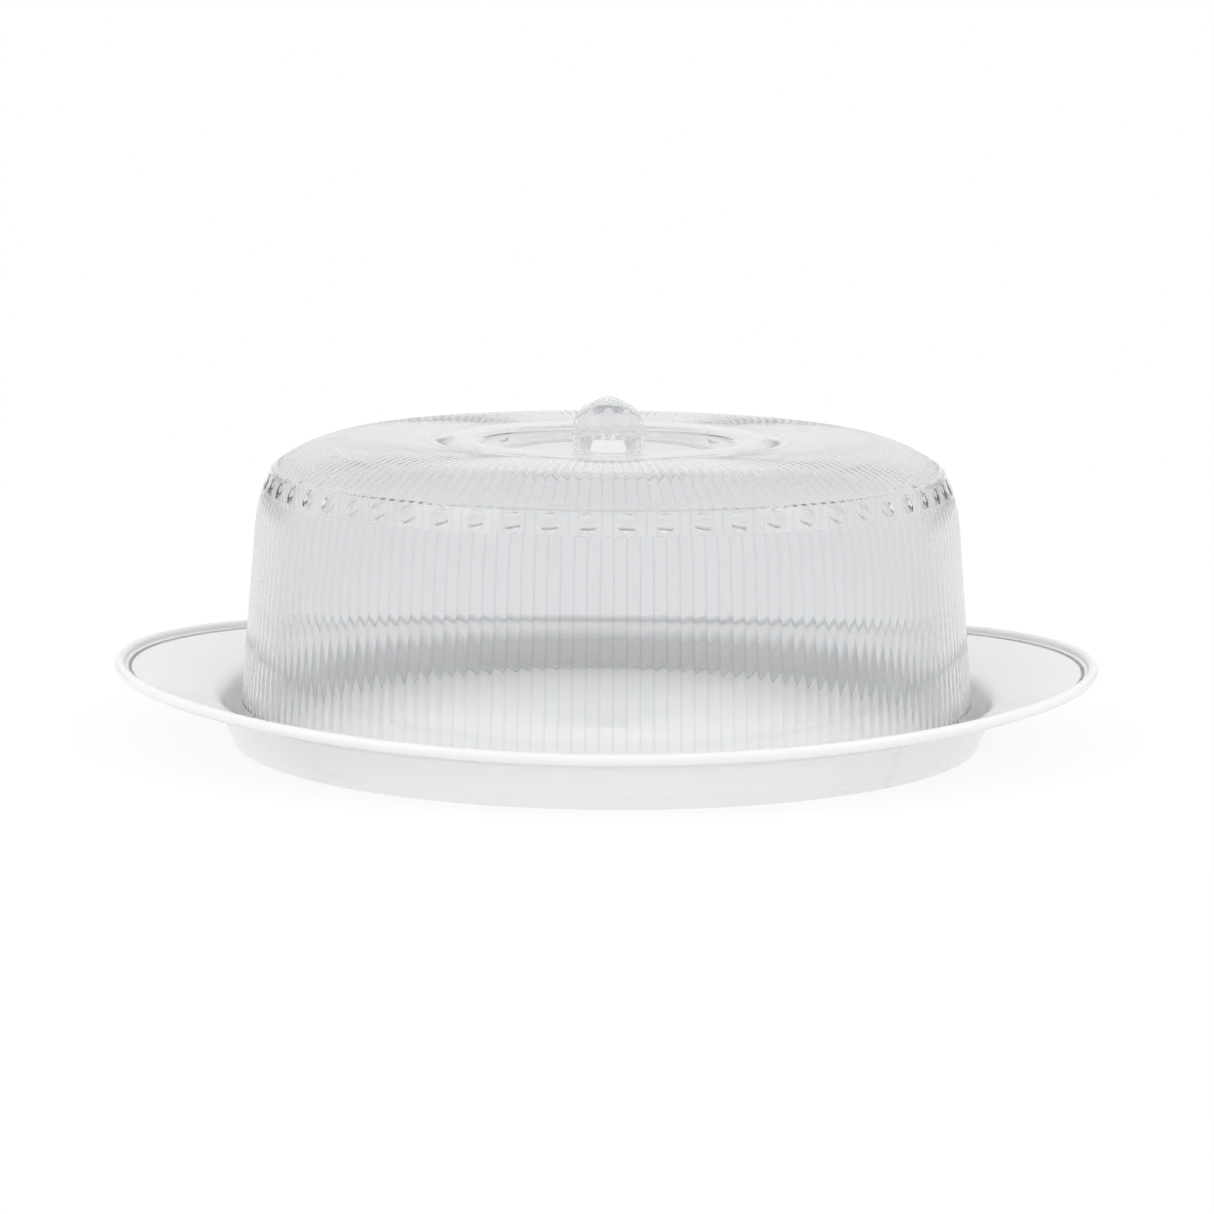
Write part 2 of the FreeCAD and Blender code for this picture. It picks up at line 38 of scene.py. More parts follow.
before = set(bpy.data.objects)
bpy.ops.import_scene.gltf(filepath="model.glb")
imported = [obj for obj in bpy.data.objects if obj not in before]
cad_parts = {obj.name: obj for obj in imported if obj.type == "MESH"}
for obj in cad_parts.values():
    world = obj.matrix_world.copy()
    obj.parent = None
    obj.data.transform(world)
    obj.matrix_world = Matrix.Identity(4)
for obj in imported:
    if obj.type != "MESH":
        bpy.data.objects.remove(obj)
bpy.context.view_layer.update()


# Sizes and colours that a user would change


def length(name, default, description):
    """A size in metres."""
    return bpy.props.FloatProperty(
        name=name, description=description, default=default, min=0.0, precision=5,
        subtype="DISTANCE", unit="LENGTH",
    )


def angle(name, degrees, description):
    """An angle, given in degrees."""
    return bpy.props.FloatProperty(
        name=name, description=description, default=math.radians(degrees),
        subtype="ANGLE", unit="ROTATION",
    )


def count(name, default, description):
    """A whole number of repeats or faces."""
    return bpy.props.IntProperty(name=name, description=description, default=default, min=3)


def share(name, default, description, most=1.0):
    """A share of one, or a strength."""
    return bpy.props.FloatProperty(
        name=name, description=description, default=default, min=0.0, max=most, precision=4,
        subtype="FACTOR",
    )


def colour(name, default, description):
    """A colour, as linear red, green and blue."""
    return bpy.props.FloatVectorProperty(
        name=name, description=description, default=default, size=3, min=0.0, max=1.0,
        subtype="COLOR",
    )


class PlateSizes(bpy.types.PropertyGroup):
    """The plate: a round well on a low foot, and an oval flange with a bead along its rim."""

    well_radius: length("Well radius", 0.1515, "Radius of the flat floor")
    floor_top: length("Floor height", 0.0035, "Height of the floor above the table")
    floor_thickness: length("Floor thickness", 0.002, "Thickness of the floor")
    well_lean: angle("Well lean", 20.0, "Lean of the well's wall from upright")
    well_height: length("Well height", 0.0154, "Height of the flange's corner above the floor")
    wall: length("Wall", 0.002, "Thickness of the well's wall")
    lip_round: length("Lip round", 0.009, "Rounding between the wall and the flange")
    floor_round: length("Floor round", 0.0012, "Rounding between the floor and the wall")
    foot_height: length("Foot height", 0.0049, "Height of the band round the foot")
    foot_step: length("Foot step", 0.00035, "How far the foot band stands in from the wall")
    foot_width: length("Foot width", 0.002, "Width of the foot ring on the table")
    half_length: length("Half length", 0.2003, "Half of the length over the handles")
    half_width: length("Half width", 0.171, "Half of the width over the rim")
    flange_slope: angle("Flange slope", 17.2, "Rise of the flange outward")
    flange_thickness: length("Flange thickness", 0.0023, "Thickness of the flange")
    rim_radius: length("Bead radius", 0.0023, "Radius of the bead at the rim")
    rim_lift: length("Bead lift", 0.0009, "Height of the bead above the flange's middle")
    gate_radius: length("Gate mark radius", 0.0026, "Radius of the mark in the centre")
    gate_height: length("Gate mark height", 0.0003, "Height of the mark in the centre")
    columns: count("Columns", 480, "Columns of faces round the plate")


class DomeSizes(bpy.types.PropertyGroup):
    """The dome: its meridian from the bottom edge up, and its reeds and dimples."""

    lift: length("Lift", 0.0035, "Height of the floor that the dome stands on")
    radius: length("Radius", 0.150, "Radius of the bottom edge")
    wall: length("Wall", 0.0022, "Thickness of the dome")
    draft: angle("Draft", 4.8, "Lean of the wall from upright")
    hem_height: length("Hem height", 0.0129, "Height of the plain hem")
    wall_height: length("Wall height", 0.084, "Height of the straight part of the wall")
    shoulder_rise: length("Shoulder rise", 0.0137, "Rise of the curved top of the wall")
    shoulder_inset: length("Shoulder inset", 0.00275, "Loss of radius over the shoulder")
    shoulder_bulge: length("Shoulder bulge", 0.0004, "Bulge of the shoulder over its chord")
    band_rise: length("Band rise", 0.0094, "Rise of the plain band")
    band_inset: length("Band inset", 0.004, "Loss of radius over the band")
    crown_rise: length("Crown rise", 0.0114, "Rise of the outer part of the crown")
    crown_inset: length("Crown inset", 0.0242, "Loss of radius over the outer crown")
    crown_bulge: length("Crown bulge", 0.0016, "Bulge of the outer crown over its chord")
    top_drop: length("Top drop", 0.0004, "Fall of the inner crown to the ring's foot")
    top_bulge: length("Top bulge", 0.0016, "Bulge of the inner crown over its chord")
    ring_foot: length("Ring foot", 0.0711, "Radius of the foot of the raised ring")
    ring_crest: length("Ring crest", 0.0605, "Radius of the crest of the raised ring")
    ring_rise: length("Ring rise", 0.0013, "Rise of the ring's crest above its foot")
    lip_radius: length("Lip radius", 0.0525, "Radius of the inner edge of the ring")
    lip_drop: length("Lip drop", 0.0012, "Fall from the ring's crest to its inner edge")
    pan_radius: length("Pan radius", 0.044, "Radius of the flat pan under the knob")
    pan_depth: length("Pan depth", 0.00402, "Depth of the pan below the ring's inner edge")
    hole_radius: length("Hole radius", 0.0034, "Radius of the hole for the knob's spigot")
    reeds: count("Reeds", 180, "Reeds round the dome")
    reed_depth: length("Reed depth", 0.00020, "Depth of the valleys on the wall")
    top_reed_depth: length("Top reed depth", 0.00012, "Depth of the valleys at the ring")
    reed_run_out: length("Tip length", 0.0036, "Length over which a reed runs out")
    ledge: length("Ledge", 0.00012, "Step between a reed's crest and a plain face")
    air: length("Air", 0.00005, "Thin layer of air under the bottom edge")
    dimples: count("Dimples", 60, "Dimples in the band")
    dimple_width: length("Dimple width", 0.0078, "Width of a dimple")
    dimple_depth: length("Dimple depth", 0.00095, "Depth of a dimple")
    inner_steps: count("Inner steps", 360, "Faces round the smooth inner face")
    edge_round: length("Edge round", 0.0005, "Rounding of the bottom edge")


class Finishes(bpy.types.PropertyGroup):
    """Colours and gloss of the mouldings."""

    white: colour("White", (0.87, 0.873, 0.873), "Milky white of the plate")
    white_shade: colour("White, shaded", (0.84, 0.845, 0.847), "Faint flow clouds in the white")
    white_gloss: share("White roughness", 0.16, "Roughness of the plate")
    clear: colour("Clear", (0.94, 0.945, 0.95), "Body tint of the clear dome")
    clear_shade: colour("Clear, shaded", (0.925, 0.932, 0.94), "Faint flow clouds in the dome")
    # Painted shade: a darker tint along each reed's valley, standing in for the thin dark lines that
    # refraction draws there
    valley: colour("Valley shade", (0.83, 0.84, 0.86), "Shade along the reeds' valleys")
    clear_gloss: share("Clear roughness", 0.03, "Roughness of the dome")
    cut: colour("Cut knob", (0.975, 0.98, 0.985), "Body tint of the knob")
    cut_shade: colour("Cut knob, shaded", (0.965, 0.97, 0.976), "Faint flow clouds in the knob")
    cut_gloss: share("Knob roughness", 0.07, "Roughness of the knob's facets")
    refraction: bpy.props.FloatProperty(
        name="Refractive index", description="Refractive index of the clear plastic",
        default=1.49, min=1.0, max=2.0,
    )


class StageSizes(bpy.types.PropertyGroup):
    """The camera, the lamps and the floor."""

    distance: length("Camera distance", 1.6, "Level distance from the axis to the camera")
    height: length("Camera height", 0.3, "Height of the camera above the table")
    aim: length("Aim height", 0.053, "Height of the point that the camera looks at")
    focal: bpy.props.FloatProperty(
        name="Focal length", description="Focal length of the camera", default=117.7,
        min=10.0, unit="CAMERA",
    )
    roll: angle("Roll", 0.45, "Roll of the camera")
    floor: colour("Floor", (0.93, 0.93, 0.93), "Pale floor")
    daylight: share("Daylight", 1.06, "Strength of the even light from all round", 4.0)


# Meshes


# Columns of points over half a reed, from its crest (0) to its valley (1)
REED_COLUMNS = (0.0, 0.42, 0.75, 1.0)
# Where a wall reed runs out: share of the tip's length, and share of the reed's full width there
NARROW_TIP = ((0.07, 0.6), (0.22, 0.7), (0.45, 0.82), (0.72, 0.93), (1.0, 1.0))
ROUND_TIP = ((0.07, 0.35), (0.22, 0.6), (0.45, 0.8), (0.72, 0.95), (1.0, 1.0))
# Where a crown reed runs out: share of the tip's length, and share of its full depth there
SOFT_TIP = ((0.5, 0.0), (0.7, 0.3), (0.85, 0.7), (1.0, 1.0))
# Points closer than this, in metres, are welded
WELD = 1e-6
PLATE_CREASE = math.radians(35)
DOME_CREASE = math.radians(20)


class Skin:
    """Points and faces of one piece, gathered before its mesh is made."""

    def __init__(self):
        self.rows = []
        self.faces = []
        self.total = 0

    def add(self, points):
        """Takes points, in metres, and returns their numbers."""
        points = np.asarray(points, float).reshape(-1, 3)
        first = self.total
        self.rows.append(points)
        self.total += len(points)
        return np.arange(first, self.total)

    def bridge(self, lower, upper):
        """Four-cornered faces between two closed rows of the same length."""
        quads = np.stack([lower, np.roll(lower, -1), np.roll(upper, -1), upper], axis=1)
        self.faces += quads.tolist()

    def zip_up(self, fine, coarse):
        """Faces between a closed row and one with fewer points, which divide it evenly."""
        step = len(fine) // len(coarse)
        for number, corner in enumerate(coarse.tolist()):
            after = int(coarse[(number + 1) % len(coarse)])
            run = [int(fine[(number * step + part) % len(fine)]) for part in range(step + 1)]
            self.faces += [[first, second, corner] for first, second in zip(run, run[1:])]
            self.faces.append([run[-1], after, corner])

    def chain(self, rows):
        """Numbers of each row of points, with faces between neighbours."""
        numbered = [self.add(row) for row in rows]
        for lower, upper in zip(numbered, numbered[1:]):
            self.bridge(lower, upper)
        return numbered

    def fan(self, row, centre):
        """Faces from a closed row to one point."""
        middle = int(self.add(centre)[0])
        ring = row.tolist()
        self.faces += [[a, b, middle] for a, b in zip(ring, ring[1:] + ring[:1])]

    def piece(self, name, material, crease):
        """The finished object: welded, facing outward, smooth but for creases."""
        mesh = bpy.data.meshes.new(name)
        mesh.from_pydata(np.concatenate(self.rows), [], self.faces)
        work = bmesh.new()
        work.from_mesh(mesh)
        bmesh.ops.remove_doubles(work, verts=work.verts, dist=WELD)
        bmesh.ops.recalc_face_normals(work, faces=work.faces)
        work.to_mesh(mesh)
        work.free()
        mesh.shade_smooth()
        mesh.set_sharp_from_angle(angle=crease)
        mesh.materials.append(material)
        made = bpy.data.objects.new(name, mesh)
        bpy.context.scene.collection.objects.link(made)
        return made


def spun(place, turns):
    """A ring of points from a meridian place, as radius and height."""
    place = np.asarray(place, float)
    return np.stack(
        [place[0] * np.cos(turns), place[0] * np.sin(turns), np.full(len(turns), place[1])], axis=1
    )


def even_turns(number):
    """Evenly spaced turns of a full circle."""
    return np.arange(number) * 2 * math.pi / number


def reed_turns(sizes):
    """Turns of the columns of points: six to a reed, closer together beside its valley."""
    across = np.array(REED_COLUMNS) / 2
    columns = np.concatenate([across, 1 - across[-2:0:-1]])
    return (np.arange(sizes.reeds)[:, None] + columns).ravel() * 2 * math.pi / sizes.reeds


def eased(corner_list, steps=4):
    """A meridian polyline whose corners, given as place and rounding, turn smoothly."""
    places = [np.array(place, float) for place, _ in corner_list]
    line = [places[0]]
    for before, (corner, (_, rounding)), after in zip(
        places, zip(places[1:-1], corner_list[1:-1]), places[2:]
    ):
        back = before - corner
        ahead = after - corner
        cut = min(rounding, 0.45 * np.linalg.norm(back), 0.45 * np.linalg.norm(ahead))
        start = corner + back / np.linalg.norm(back) * cut
        end = corner + ahead / np.linalg.norm(ahead) * cut
        for along in np.linspace(0, 1, steps + 1) if cut > 0 else [0]:
            line.append(
                (1 - along) ** 2 * start + 2 * along * (1 - along) * corner + along ** 2 * end
            )
    line.append(places[-1])
    return line


class MeridianArc:
    """An arc between two meridian places that bulges outward."""

    def __init__(self, start, end, bulge):
        chord = end - start
        half = np.linalg.norm(chord) / 2
        self.radius = (half * half + bulge * bulge) / (2 * bulge)
        out = np.array([chord[1], -chord[0]]) / (2 * half)
        self.centre = (start + end) / 2 - out * (self.radius - bulge)
        first = start - self.centre
        last = end - self.centre
        self.angles = math.atan2(first[1], first[0]), math.atan2(last[1], last[0])

    def place(self, along):
        """A place on the arc at a share of its length, and the outward direction there."""
        turn = self.angles[0] + along * (self.angles[1] - self.angles[0])
        out = np.array([math.cos(turn), math.sin(turn)])
        return self.centre + out * self.radius, out


class DomeShape:
    """The dome's meridian in metres, worked out from its sizes."""

    def __init__(self, sizes):
        self.sizes = sizes
        lean = math.tan(sizes.draft)
        floor = sizes.lift
        self.out = np.array([math.cos(sizes.draft), math.sin(sizes.draft)])
        self.up = np.array([-math.sin(sizes.draft), math.cos(sizes.draft)])
        self.edge = np.array([sizes.radius, floor])
        self.hem = np.array([sizes.radius - sizes.hem_height * lean, floor + sizes.hem_height])
        self.straight = np.array(
            [sizes.radius - sizes.wall_height * lean, floor + sizes.wall_height]
        )
        self.band_foot = self.straight + [-sizes.shoulder_inset, sizes.shoulder_rise]
        self.band_top = self.band_foot + [-sizes.band_inset, sizes.band_rise]
        self.crown = self.band_top + [-sizes.crown_inset, sizes.crown_rise]
        self.ring_foot = np.array([sizes.ring_foot, self.crown[1] - sizes.top_drop])
        self.ring_crest = np.array([sizes.ring_crest, self.ring_foot[1] + sizes.ring_rise])
        self.lip = np.array([sizes.lip_radius, self.ring_crest[1] - sizes.lip_drop])
        self.pan = np.array([sizes.pan_radius, self.lip[1] - sizes.pan_depth])
        self.shoulder_arc = MeridianArc(self.straight, self.band_foot, sizes.shoulder_bulge)
        self.crown_arc = MeridianArc(self.band_top, self.crown, sizes.crown_bulge)
        self.top_arc = MeridianArc(self.crown, self.ring_foot, sizes.top_bulge)

    def wall_stations(self):
        """Place, outward direction, valley depth and reed width, from the hem to the band."""
        sizes = self.sizes
        inward = np.array([sizes.ledge, 0.0])
        stations = [(self.hem - inward, self.out, 0.0, 1.0)]
        for part, width in NARROW_TIP:
            place = self.hem + self.up * part * sizes.reed_run_out - inward
            stations.append((place, self.out, sizes.reed_depth, width))
        stations.append((self.straight - inward, self.out, sizes.reed_depth, 1.0))
        chord = np.linalg.norm(self.band_foot - self.straight)
        for along in (0.3, 0.55):
            place, out = self.shoulder_arc.place(along)
            stations.append((place - inward, out, sizes.reed_depth, 1.0))
        for part, width in reversed(ROUND_TIP):
            place, out = self.shoulder_arc.place(1 - part * sizes.reed_run_out / chord)
            stations.append((place - inward, out, sizes.reed_depth, width))
        place, out = self.shoulder_arc.place(1)
        stations.append((place - inward, out, 0.0, 1.0))
        return stations

    def crown_stations(self):
        """The same from the band's top to the ring's foot."""
        sizes = self.sizes
        reach = self.band_top[0] - self.ring_foot[0]
        stations = []

        def take(arc, along, ease=1.0):
            """Adds a station at a share of an arc, at a share of the full depth."""
            place, out = arc.place(along)
            closeness = (place[0] - self.ring_foot[0]) / reach
            depth = sizes.top_reed_depth + (sizes.reed_depth - sizes.top_reed_depth) * closeness
            stations.append((place, out, depth * ease, 1.0))

        chord = np.linalg.norm(self.crown - self.band_top)
        take(self.crown_arc, 0.0, 0.0)
        for part, ease in SOFT_TIP:
            take(self.crown_arc, part * sizes.reed_run_out / chord, ease)
        for along in (0.3, 0.5, 0.68, 0.84, 0.94):
            take(self.crown_arc, along)
        chord = np.linalg.norm(self.ring_foot - self.crown)
        for along in (0.04, 0.12, 0.3, 0.55, 0.8):
            take(self.top_arc, along)
        for part, ease in reversed(SOFT_TIP):
            take(self.top_arc, 1 - part * sizes.reed_run_out / chord, ease)
        take(self.top_arc, 1.0, 0.0)
        return stations

    def inner_line(self):
        """The smooth inner face's meridian, from the bottom edge to the hole."""
        sizes = self.sizes
        rise = (self.band_top - self.band_foot) / np.linalg.norm(self.band_top - self.band_foot)
        band_out = np.array([rise[1], -rise[0]])
        ring_round = 0.003
        crest_round = 0.005
        heel_in = 0.0003
        heel_rise = np.array([0.00005, 0.0006])
        line = []
        for arc, shares in (
            (self.shoulder_arc, (0.0, 0.35, 0.7, 1.0)),
            (self.crown_arc, (0.0, 0.25, 0.5, 0.75, 1.0)),
            (self.top_arc, (0.12, 0.35, 0.6, 0.8, 0.95)),
        ):
            for along in shares:
                place, out = arc.place(along)
                if arc is self.crown_arc and along == 0.0:
                    # The corner over the band is mitred, so that the wall keeps its thickness
                    out = (out + band_out) / (1 + out @ band_out)
                line.append(place - out * sizes.wall)
        down = np.array([0.0, sizes.wall])
        top = [(line[-1], 0)]
        for place, rounding in (
            (self.ring_foot, ring_round), (self.ring_crest, crest_round),
            (self.lip, ring_round), (self.pan, ring_round),
        ):
            top.append((place - down, rounding))
        top.append((np.array([sizes.hole_radius, self.pan[1] - sizes.wall]), 0))
        first = np.array(
            [sizes.radius - sizes.wall / math.cos(sizes.draft), sizes.lift + sizes.air]
        )
        bottom = [first - [heel_in, 0.0], first + heel_rise]
        return bottom + line[:-1] + eased(top)


def reed_row(station, sizes):
    """The points of one station all round: rounded reeds with sharp valleys."""
    place, out, depth, width = station
    across = np.array(REED_COLUMNS)
    drop = depth * np.minimum(1, (across / width) ** 2)
    drop = np.tile(np.concatenate([drop, drop[-2:0:-1]]), sizes.reeds)
    turns = reed_turns(sizes)
    radius = place[0] - out[0] * drop
    height = place[1] - out[1] * drop
    return np.stack([radius * np.cos(turns), radius * np.sin(turns), height], axis=1)


def dimple_cell(shape, turns, side_steps):
    """One cell of the band in turn, radius and height, and its faces: a plain field and a cap."""
    sizes = shape.sizes
    middle = (shape.band_foot + shape.band_top) / 2
    rise = shape.band_top - shape.band_foot
    slant = np.linalg.norm(rise)
    up = rise / slant
    out = np.array([up[1], -up[0]])
    radius = sizes.dimple_width / 2
    ball = (radius ** 2 + sizes.dimple_depth ** 2) / (2 * sizes.dimple_depth)
    bottom = (turns - turns.mean()) * middle[0]
    wide = bottom[-1]
    side = np.linspace(-slant / 2, slant / 2, side_steps + 1)
    border = [(x, -slant / 2) for x in bottom[:-1]] + [(wide, y) for y in side[:-1]]
    border += [(x, slant / 2) for x in bottom[::-1][:-1]] + [(-wide, y) for y in side[::-1][:-1]]
    border = np.array(border)
    directions = border / np.linalg.norm(border, axis=1)[:, None]
    rings = [border + (directions * radius - border) * along for along in (0, 0.4, 0.75, 1)]
    depths = [0, 0, 0, 0]
    for along in (0.97, 0.85, 0.68, 0.48, 0.25):
        rings.append(directions * radius * along)
        depths.append(math.sqrt(ball ** 2 - (radius * along) ** 2) - (ball - sizes.dimple_depth))
    points = []
    for ring, depth in zip(rings + [np.zeros((1, 2))], depths + [sizes.dimple_depth]):
        radii = middle[0] + up[0] * ring[:, 1] - out[0] * depth
        heights = middle[1] + up[1] * ring[:, 1] - out[1] * depth
        points.append(np.stack([turns.mean() + ring[:, 0] / middle[0], radii, heights], axis=1))
    around = len(border)
    faces = []
    for number in range(len(rings) - 1):
        for spot in range(around):
            after = (spot + 1) % around
            low, high = number * around, (number + 1) * around
            faces.append([low + spot, low + after, high + after, high + spot])
    last = (len(rings) - 1) * around
    centre = len(rings) * around
    faces += [[last + spot, last + (spot + 1) % around, centre] for spot in range(around)]
    return np.concatenate(points), faces


def dome_skin(sizes):
    """The whole dome as one closed skin."""
    shape = DomeShape(sizes)
    skin = Skin()
    turns = reed_turns(sizes)
    fine_bottom = spun(shape.edge + [-sizes.edge_round, sizes.air], turns)
    hem_line = [
        shape.edge + [-0.3 * sizes.edge_round, 0.05 * sizes.edge_round + sizes.air],
        shape.edge + [-0.05 * sizes.edge_round, 0.35 * sizes.edge_round],
        shape.edge + shape.up * sizes.edge_round,
        shape.hem,
    ]
    rows = [fine_bottom] + [spun(place, turns) for place in hem_line]
    rows += [reed_row(station, sizes) for station in shape.wall_stations()]
    rows.append(spun(shape.band_foot, turns))
    bottom_row = skin.chain(rows)[0]

    columns = len(turns) // sizes.dimples
    pitch = 2 * math.pi / sizes.dimples
    cell, faces = dimple_cell(shape, np.append(turns[:columns], pitch), side_steps=8)
    for number in range(sizes.dimples):
        turned = cell[:, 0] + number * pitch
        placed = [cell[:, 1] * np.cos(turned), cell[:, 1] * np.sin(turned), cell[:, 2]]
        first = int(skin.add(np.stack(placed, axis=1))[0])
        skin.faces += [[first + corner for corner in face] for face in faces]

    crown_row = skin.chain([reed_row(station, sizes) for station in shape.crown_stations()])[-1]

    few = even_turns(sizes.inner_steps)
    start = shape.top_arc.place(1.0)[0]
    seam = np.array([0.0002, 0.0])
    half_crest = np.array([0.0020, 0.0])
    chamfer = 0.0003
    # Corners from the last reeded row to the hole, each with its rounding in metres
    top_line = eased([
        (start - seam, 0),
        (shape.ring_foot - [0.0012, 0.0], 0.0008),
        (shape.ring_crest + half_crest, 0.0030),
        (shape.ring_crest - half_crest, 0.0020),
        (shape.lip + [0.0008, 0.0002], 0.0012),
        (shape.pan + [0.0006, 0.0], 0.0014),
        (np.array([sizes.hole_radius + chamfer, shape.pan[1]]), 0.0001),
        (np.array([sizes.hole_radius, shape.pan[1] - chamfer]), 0),
    ])
    outer = skin.chain([spun(place, few) for place in top_line])
    skin.zip_up(crown_row, outer[0])
    inner = skin.chain([spun(place, few) for place in shape.inner_line()])
    skin.zip_up(bottom_row, inner[0])
    skin.bridge(outer[-1], inner[-1])
    return skin


def plate_skin(sizes):
    """The whole plate as one closed skin: its columns run out from the centre over the rim."""
    turn = even_turns(sizes.columns)
    along = (sizes.half_length - sizes.rim_radius) * np.cos(turn)
    across = (sizes.half_width - sizes.rim_radius) * np.sin(turn)
    reach = np.hypot(along, across)
    spoke = np.stack([along / reach, across / reach], axis=1)
    normal = np.stack([along / (sizes.half_length - sizes.rim_radius) ** 2,
                       across / (sizes.half_width - sizes.rim_radius) ** 2], axis=1)
    normal /= np.linalg.norm(normal, axis=1)[:, None]

    rise = math.tan(sizes.flange_slope)
    lean = math.tan(sizes.well_lean)
    gap = sizes.flange_thickness / math.cos(sizes.flange_slope)
    wall_gap = sizes.wall / math.cos(sizes.well_lean)
    corner = np.array([sizes.well_radius + sizes.well_height * lean,
                       sizes.floor_top + sizes.well_height])
    bead_height = corner[1] + (reach - corner[0]) * rise + sizes.rim_lift - gap / 2

    def ring(place):
        """A level ring at one radius and height."""
        flat = spoke * place[0]
        return np.concatenate([flat, np.full((len(turn), 1), place[1])], axis=1)

    def on_flange(part, drop):
        """A ring on the flange, at a share of the way from the well's corner to the bead."""
        radius = corner[0] + (reach - sizes.rim_radius - corner[0]) * part
        height = corner[1] + (radius - corner[0]) * rise - drop
        return np.stack([spoke[:, 0] * radius, spoke[:, 1] * radius, height], axis=1)

    def on_bead(degrees):
        """A ring on the bead, at an angle from the outward direction along the flange."""
        bearing = math.radians(degrees)
        run = sizes.rim_radius * math.cos(bearing)
        lift = sizes.rim_radius * math.sin(bearing)
        slope = sizes.flange_slope
        flat = run * math.cos(slope) - lift * math.sin(slope)
        height = bead_height + run * math.sin(slope) + lift * math.cos(slope)
        return np.stack([along + normal[:, 0] * flat, across + normal[:, 1] * flat, height], axis=1)

    gate = sizes.gate_radius
    top = sizes.floor_top
    flange_start = corner + np.array([sizes.lip_round, sizes.lip_round * rise])
    # Corners of the upper face from the centre out, each with its rounding in metres
    inner = eased([
        ((gate * 0.4, top + sizes.gate_height), 0),
        ((gate, top + sizes.gate_height), 0.0004),
        ((gate * 1.06, top), 0.0001),
        ((sizes.well_radius, top), sizes.floor_round),
        (corner, sizes.lip_round * 0.62),
        (flange_start, 0),
    ], steps=7)
    near = (flange_start[0] - corner[0]) / (reach.min() - sizes.rim_radius - corner[0])
    upper_end = 0.93
    fillet_start = 0.985
    lower_start = 0.97
    fillet_end = 146
    bead_start = 134
    bead_end = -112
    rows = [ring(place) for place in inner[:-1]]
    rows += [on_flange(part, 0.0) for part in np.linspace(near, upper_end, 5)]
    start = on_flange(fillet_start, 0.0)
    meet = on_flange(1.0, 0.0)
    onto = on_bead(fillet_end)
    for part in np.linspace(0, 1, 5):
        rows.append((1 - part) ** 2 * start + 2 * part * (1 - part) * meet + part ** 2 * onto)
    rows += [on_bead(degrees) for degrees in np.linspace(bead_start, bead_end, 20)]
    rows += [on_flange(part, gap) for part in np.linspace(lower_start, near, 5)]

    under = (wall_gap - lean * gap) / (1 - lean * rise)
    under_corner = corner + np.array([under, under * rise - gap])
    foot = sizes.well_radius + wall_gap - sizes.floor_top * lean
    band_top = np.array([foot + sizes.foot_height * lean, sizes.foot_height])
    step = sizes.foot_step
    below = sizes.floor_top - sizes.floor_thickness
    # Corners of the under face from the flange in to the centre, each with its rounding
    outer = eased([
        (under_corner + np.array([0.004, 0.004 * rise]), 0),
        (under_corner, 0.0022),
        (band_top + [0.0003 * lean, 0.0003], 0.0002),
        (band_top - [step, 0.0], 0.00008),
        ((foot - step, 0.0), 0.0007),
        ((foot - step - sizes.foot_width, 0.0), 0.0004),
        ((foot - step - sizes.foot_width, below), 0.0006),
        ((gate, below), 0),
    ])
    rows += [ring(place) for place in outer[1:]]

    skin = Skin()
    numbered = skin.chain(rows)
    skin.fan(numbered[0], (0.0, 0.0, top + sizes.gate_height))
    skin.fan(numbered[-1], (0.0, 0.0, below))
    return skin


# Materials


# Outputs of a Light Path node, by their place
CAMERA = 0
DIFFUSE = 2
GLOSSY = 3
TRANSMISSION = 6
DIFFUSE_DEPTH = 10

WHITE = (1.0, 1.0, 1.0)


class Wire:
    """An output socket in arithmetic: each operator adds one Math node."""

    def __init__(self, nodes, socket):
        self.nodes = nodes
        self.socket = socket

    def combine(self, operation, first, second):
        return self.nodes.add("ShaderNodeMath", {"operation": operation}, {0: first, 1: second})[0]

    def __add__(self, other):
        return self.combine("ADD", self, other)

    def __radd__(self, other):
        return self.combine("ADD", other, self)

    def __sub__(self, other):
        return self.combine("SUBTRACT", self, other)

    def __rsub__(self, other):
        return self.combine("SUBTRACT", other, self)

    def __mul__(self, other):
        return self.combine("MULTIPLY", self, other)

    def __rmul__(self, other):
        return self.combine("MULTIPLY", other, self)


